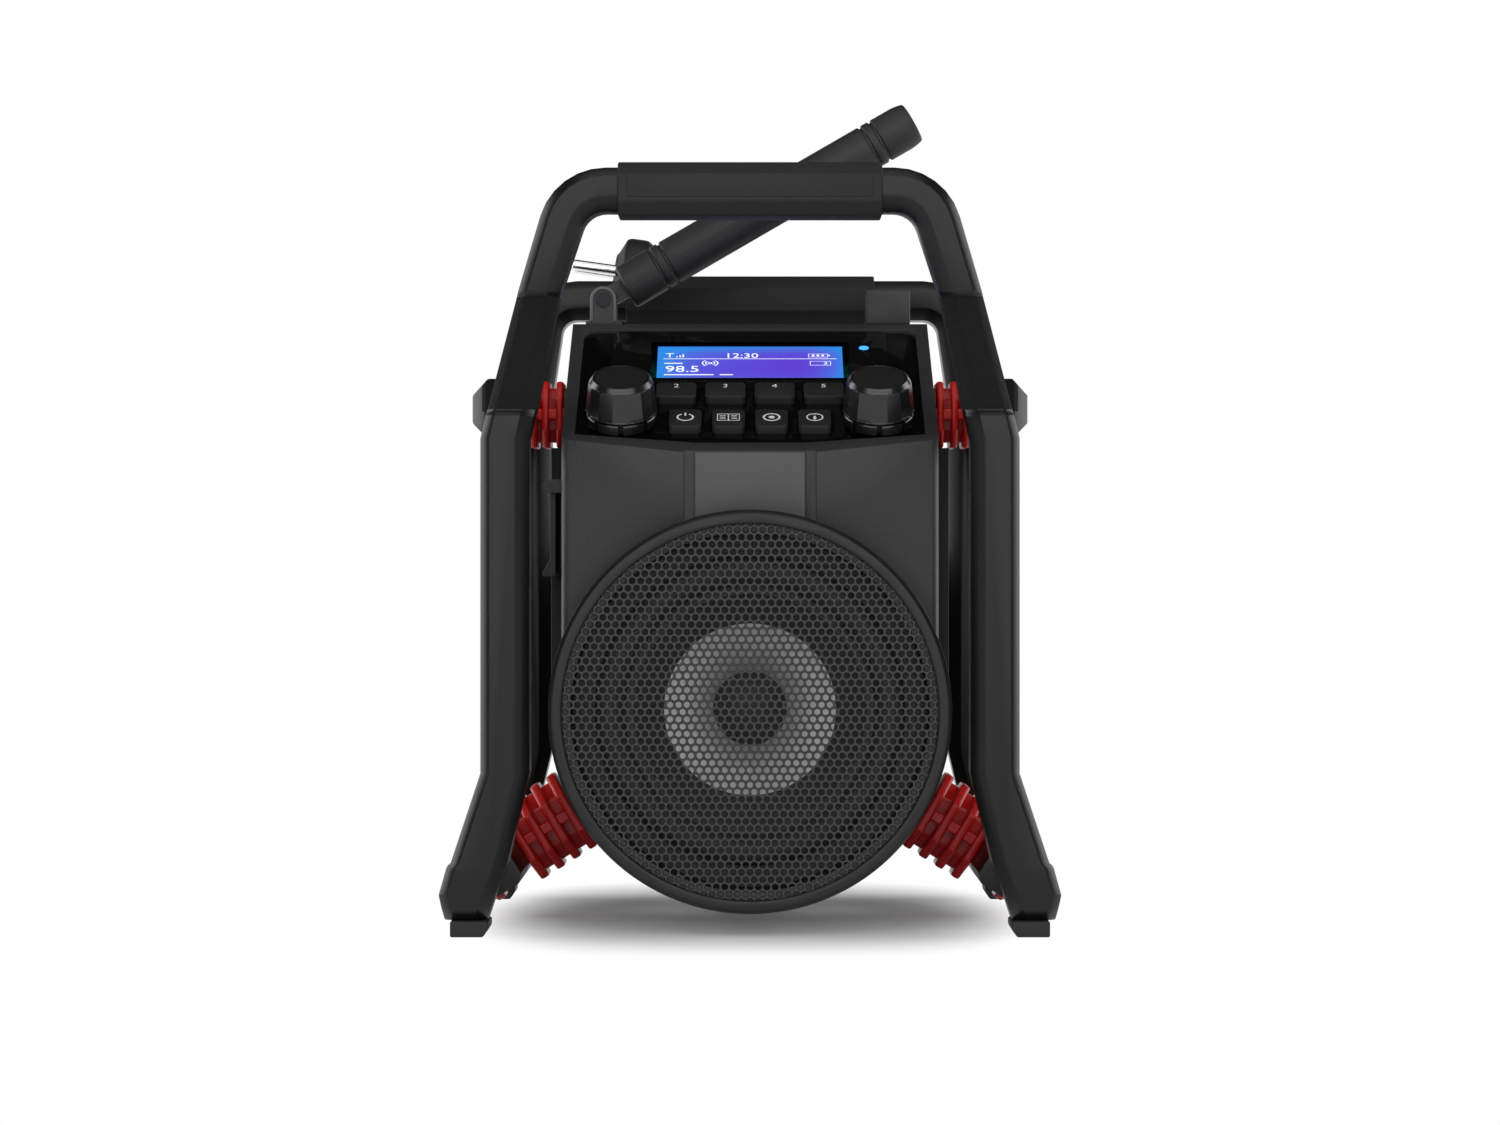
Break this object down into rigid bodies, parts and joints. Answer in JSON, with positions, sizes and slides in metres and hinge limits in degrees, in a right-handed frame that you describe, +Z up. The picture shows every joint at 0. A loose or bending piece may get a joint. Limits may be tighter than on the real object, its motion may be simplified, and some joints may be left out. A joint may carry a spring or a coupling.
{
  "type": "jobsite radio",
  "caption": "Jobsite radio hung on rubber dampers in a roll cage: push buttons, rotary knobs, folding antenna, socket flap, battery door and mains lead wound on the tub.",
  "frame": {"origin": "middle of the cage's footprint, on the floor that its feet stand on", "axes": "+X to the right seen from the front, +Y from the front to the back, +Z up"},
  "size_m": [0.2438, 0.2265, 0.3417],
  "materials": {
    "cage_plastic": "satin charcoal",
    "grip_rubber": "matt",
    "red_rubber": "glossy red",
    "foot_rubber": "matt",
    "steel": "zinc plated",
    "front_plastic": "textured dark grey",
    "rear_plastic": "textured black",
    "trim_plastic": "smooth grey",
    "ring_plastic": "satin dark grey",
    "grille_metal": "dark powder coat",
    "basket_metal": "black",
    "surround_rubber": "matt",
    "cone_plastic": "satin grey",
    "cap_plastic": "satin black",
    "iron": "plated",
    "gloss_black": "high gloss",
    "lens_plastic": "high gloss, smoked",
    "display": "lit blue",
    "light": "lit blue",
    "board": "solder mask green",
    "button_plastic": "satin black",
    "knob_plastic": "glossy with a matt top",
    "bracket_plastic": "satin grey",
    "antenna_rubber": "satin black",
    "flap_rubber": "matt",
    "socket_plastic": "black",
    "lead_rubber": "matt black",
    "dark_steel": "blackened",
    "chrome": "nickel plated"
  },
  "bodies": {
    "radio": {"front_hoop": "cage_plastic", "rear_hoop": "cage_plastic", "front_grip": "grip_rubber", "rear_grip": "grip_rubber", "upper_beam_left": "cage_plastic", "upper_beam_right": "cage_plastic", "lower_beam_left": "cage_plastic", "lower_beam_right": "cage_plastic", "upper_damper_left": "red_rubber", "upper_damper_right": "red_rubber", "lower_damper_left": "red_rubber", "lower_damper_right": "red_rubber", "rubber_feet": "foot_rubber", "screws": "steel", "front_shell": "front_plastic", "rear_shell": "rear_plastic", "battery_tub": "rear_plastic", "tub_rim": "rear_plastic", "centre_trim": "trim_plastic", "speaker_ring": "ring_plastic", "speaker_grille": "grille_metal", "speaker_basket": "basket_metal", "speaker_surround": "surround_rubber", "speaker_cone": "cone_plastic", "dust_cap": "cap_plastic", "speaker_magnet": "iron", "control_plate": "gloss_black", "display_lens": "lens_plastic", "display_module": "display", "status_light": "light", "switch_board": "board", "antenna_bracket": "bracket_plastic", "hinge_pins": "dark_steel", "antenna_cradle": "bracket_plastic", "side_sockets": "socket_plastic", "main_board": "board", "transformer": "iron", "strain_relief": "lead_rubber", "lead_winding": "lead_rubber", "mains_lead": "lead_rubber", "mains_plug": "lead_rubber", "plug_pins": "chrome"},
    "preset_button_1": {"preset_button_1": "button_plastic"},
    "preset_button_2": {"preset_button_2": "button_plastic"},
    "preset_button_3": {"preset_button_3": "button_plastic"},
    "preset_button_4": {"preset_button_4": "button_plastic"},
    "preset_button_5": {"preset_button_5": "button_plastic"},
    "preset_button_6": {"preset_button_6": "button_plastic"},
    "mode_button_1": {"mode_button_1": "button_plastic"},
    "mode_button_2": {"mode_button_2": "button_plastic"},
    "mode_button_3": {"mode_button_3": "button_plastic"},
    "mode_button_4": {"mode_button_4": "button_plastic"},
    "volume_spindle": {"volume_shaft": "steel"},
    "volume_knob": {"volume_knob": "knob_plastic"},
    "tuning_spindle": {"tuning_shaft": "steel"},
    "tuning_knob": {"tuning_knob": "knob_plastic"},
    "antenna": {"antenna_neck": "bracket_plastic", "antenna_sleeve": "antenna_rubber"},
    "flap": {"port_flap": "flap_rubber"},
    "battery_door": {"battery_door": "rear_plastic"}
  },
  "joints": [
    {"name": "preset_button_1_press", "type": "slide", "parent": "radio", "child": "preset_button_1", "axis": [0, 0.4633, -0.8862], "range_m": [0, 0.0008], "stiffness_N_per_m": 400, "springref_m": -0.0008},
    {"name": "preset_button_2_press", "type": "slide", "parent": "radio", "child": "preset_button_2", "axis": [0, 0.4633, -0.8862], "range_m": [0, 0.0008], "stiffness_N_per_m": 400, "springref_m": -0.0008},
    {"name": "preset_button_3_press", "type": "slide", "parent": "radio", "child": "preset_button_3", "axis": [0, 0.4633, -0.8862], "range_m": [0, 0.0008], "stiffness_N_per_m": 400, "springref_m": -0.0008},
    {"name": "preset_button_4_press", "type": "slide", "parent": "radio", "child": "preset_button_4", "axis": [0, 0.4633, -0.8862], "range_m": [0, 0.0008], "stiffness_N_per_m": 400, "springref_m": -0.0008},
    {"name": "preset_button_5_press", "type": "slide", "parent": "radio", "child": "preset_button_5", "axis": [0, 0.4633, -0.8862], "range_m": [0, 0.0008], "stiffness_N_per_m": 400, "springref_m": -0.0008},
    {"name": "preset_button_6_press", "type": "slide", "parent": "radio", "child": "preset_button_6", "axis": [0, 0.4633, -0.8862], "range_m": [0, 0.0008], "stiffness_N_per_m": 400, "springref_m": -0.0008},
    {"name": "mode_button_1_press", "type": "slide", "parent": "radio", "child": "mode_button_1", "axis": [0, 0.4633, -0.8862], "range_m": [0, 0.0008], "stiffness_N_per_m": 400, "springref_m": -0.0008},
    {"name": "mode_button_2_press", "type": "slide", "parent": "radio", "child": "mode_button_2", "axis": [0, 0.4633, -0.8862], "range_m": [0, 0.0008], "stiffness_N_per_m": 400, "springref_m": -0.0008},
    {"name": "mode_button_3_press", "type": "slide", "parent": "radio", "child": "mode_button_3", "axis": [0, 0.4633, -0.8862], "range_m": [0, 0.0008], "stiffness_N_per_m": 400, "springref_m": -0.0008},
    {"name": "mode_button_4_press", "type": "slide", "parent": "radio", "child": "mode_button_4", "axis": [0, 0.4633, -0.8862], "range_m": [0, 0.0008], "stiffness_N_per_m": 400, "springref_m": -0.0008},
    {"name": "volume_turn", "type": "hinge", "parent": "radio", "child": "volume_spindle", "pos_m": [-0.0514, -0.05519, 0.20297], "axis": [0, -0.4633, 0.8862], "continuous": true},
    {"name": "volume_press", "type": "slide", "parent": "volume_spindle", "child": "volume_knob", "axis": [0, 0.4633, -0.8862], "range_m": [0, 0.0008], "stiffness_N_per_m": 600, "springref_m": -0.001},
    {"name": "tuning_turn", "type": "hinge", "parent": "radio", "child": "tuning_spindle", "pos_m": [0.0514, -0.05519, 0.20297], "axis": [0, -0.4633, 0.8862], "continuous": true},
    {"name": "tuning_press", "type": "slide", "parent": "tuning_spindle", "child": "tuning_knob", "axis": [0, 0.4633, -0.8862], "range_m": [0, 0.0008], "stiffness_N_per_m": 600, "springref_m": -0.001},
    {"name": "antenna_fold", "type": "hinge", "parent": "radio", "child": "antenna", "pos_m": [-0.0624, 0.0415, 0.2583], "axis": [0, -1, 0], "range_deg": [-30, 150]},
    {"name": "flap_hinge", "type": "hinge", "parent": "radio", "child": "flap", "pos_m": [-0.0804, -0.041, 0.177], "axis": [0, 1, 0], "range_deg": [0, 100]},
    {"name": "battery_door_hinge", "type": "hinge", "parent": "radio", "child": "battery_door", "pos_m": [0, 0.0921, 0.047], "axis": [-1, 0, 0], "range_deg": [0, 90]}
  ]
}
